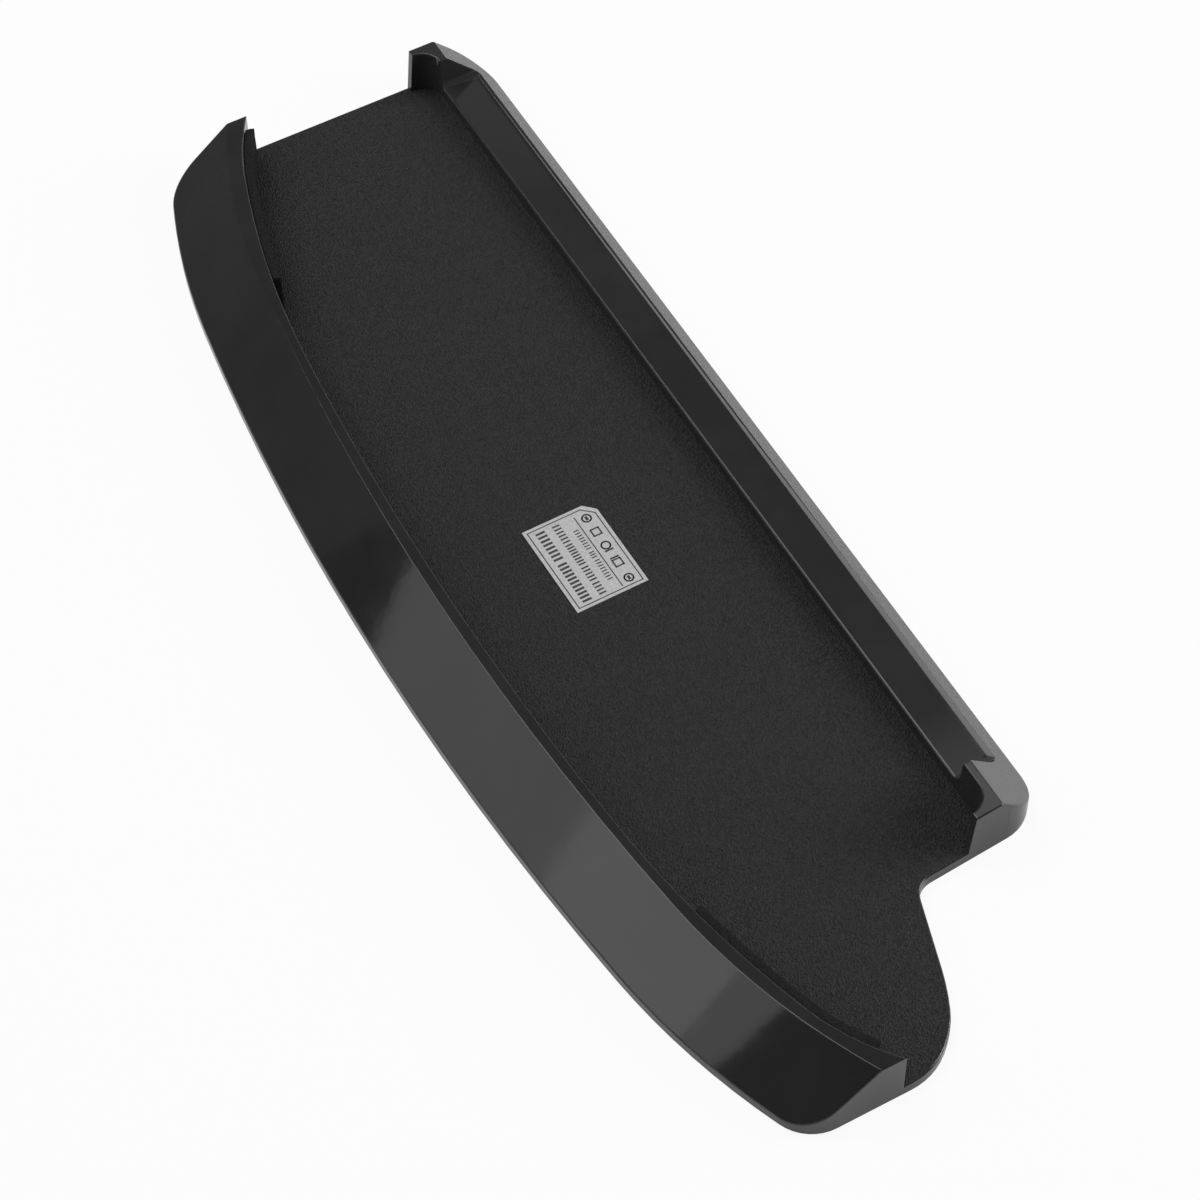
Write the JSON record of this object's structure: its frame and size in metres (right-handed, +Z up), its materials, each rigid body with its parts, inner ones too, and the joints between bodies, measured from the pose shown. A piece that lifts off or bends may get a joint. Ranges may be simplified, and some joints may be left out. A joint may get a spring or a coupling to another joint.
{
  "type": "console vertical stand",
  "caption": "Low one-piece moulded stand that holds a slim game console on its long edge, with a curved sloped wall on one side and wrap-round end blocks on the other.",
  "frame": {"origin": "centre of the footprint, on the surface the feet stand on", "axes": "+X along the stand towards the rounded tongue, +Y across it towards the straight side, +Z up"},
  "size_m": [0.244, 0.0862, 0.0131],
  "materials": {
    "body_plastic": "black, fine grain on the floor plate, satin on the slopes",
    "foam": "black closed-cell foam",
    "label_paper": "silver-white printed film",
    "foot_rubber": "dark grey rubber"
  },
  "bodies": {
    "root": {"body": "body_plastic", "foam_strip_near": "foam", "foam_strip_far": "foam", "label": "label_paper", "foot_far_straight": "foot_rubber", "foot_near_straight": "foot_rubber", "foot_far_curved": "foot_rubber", "foot_near_curved": "foot_rubber"}
  },
  "joints": []
}
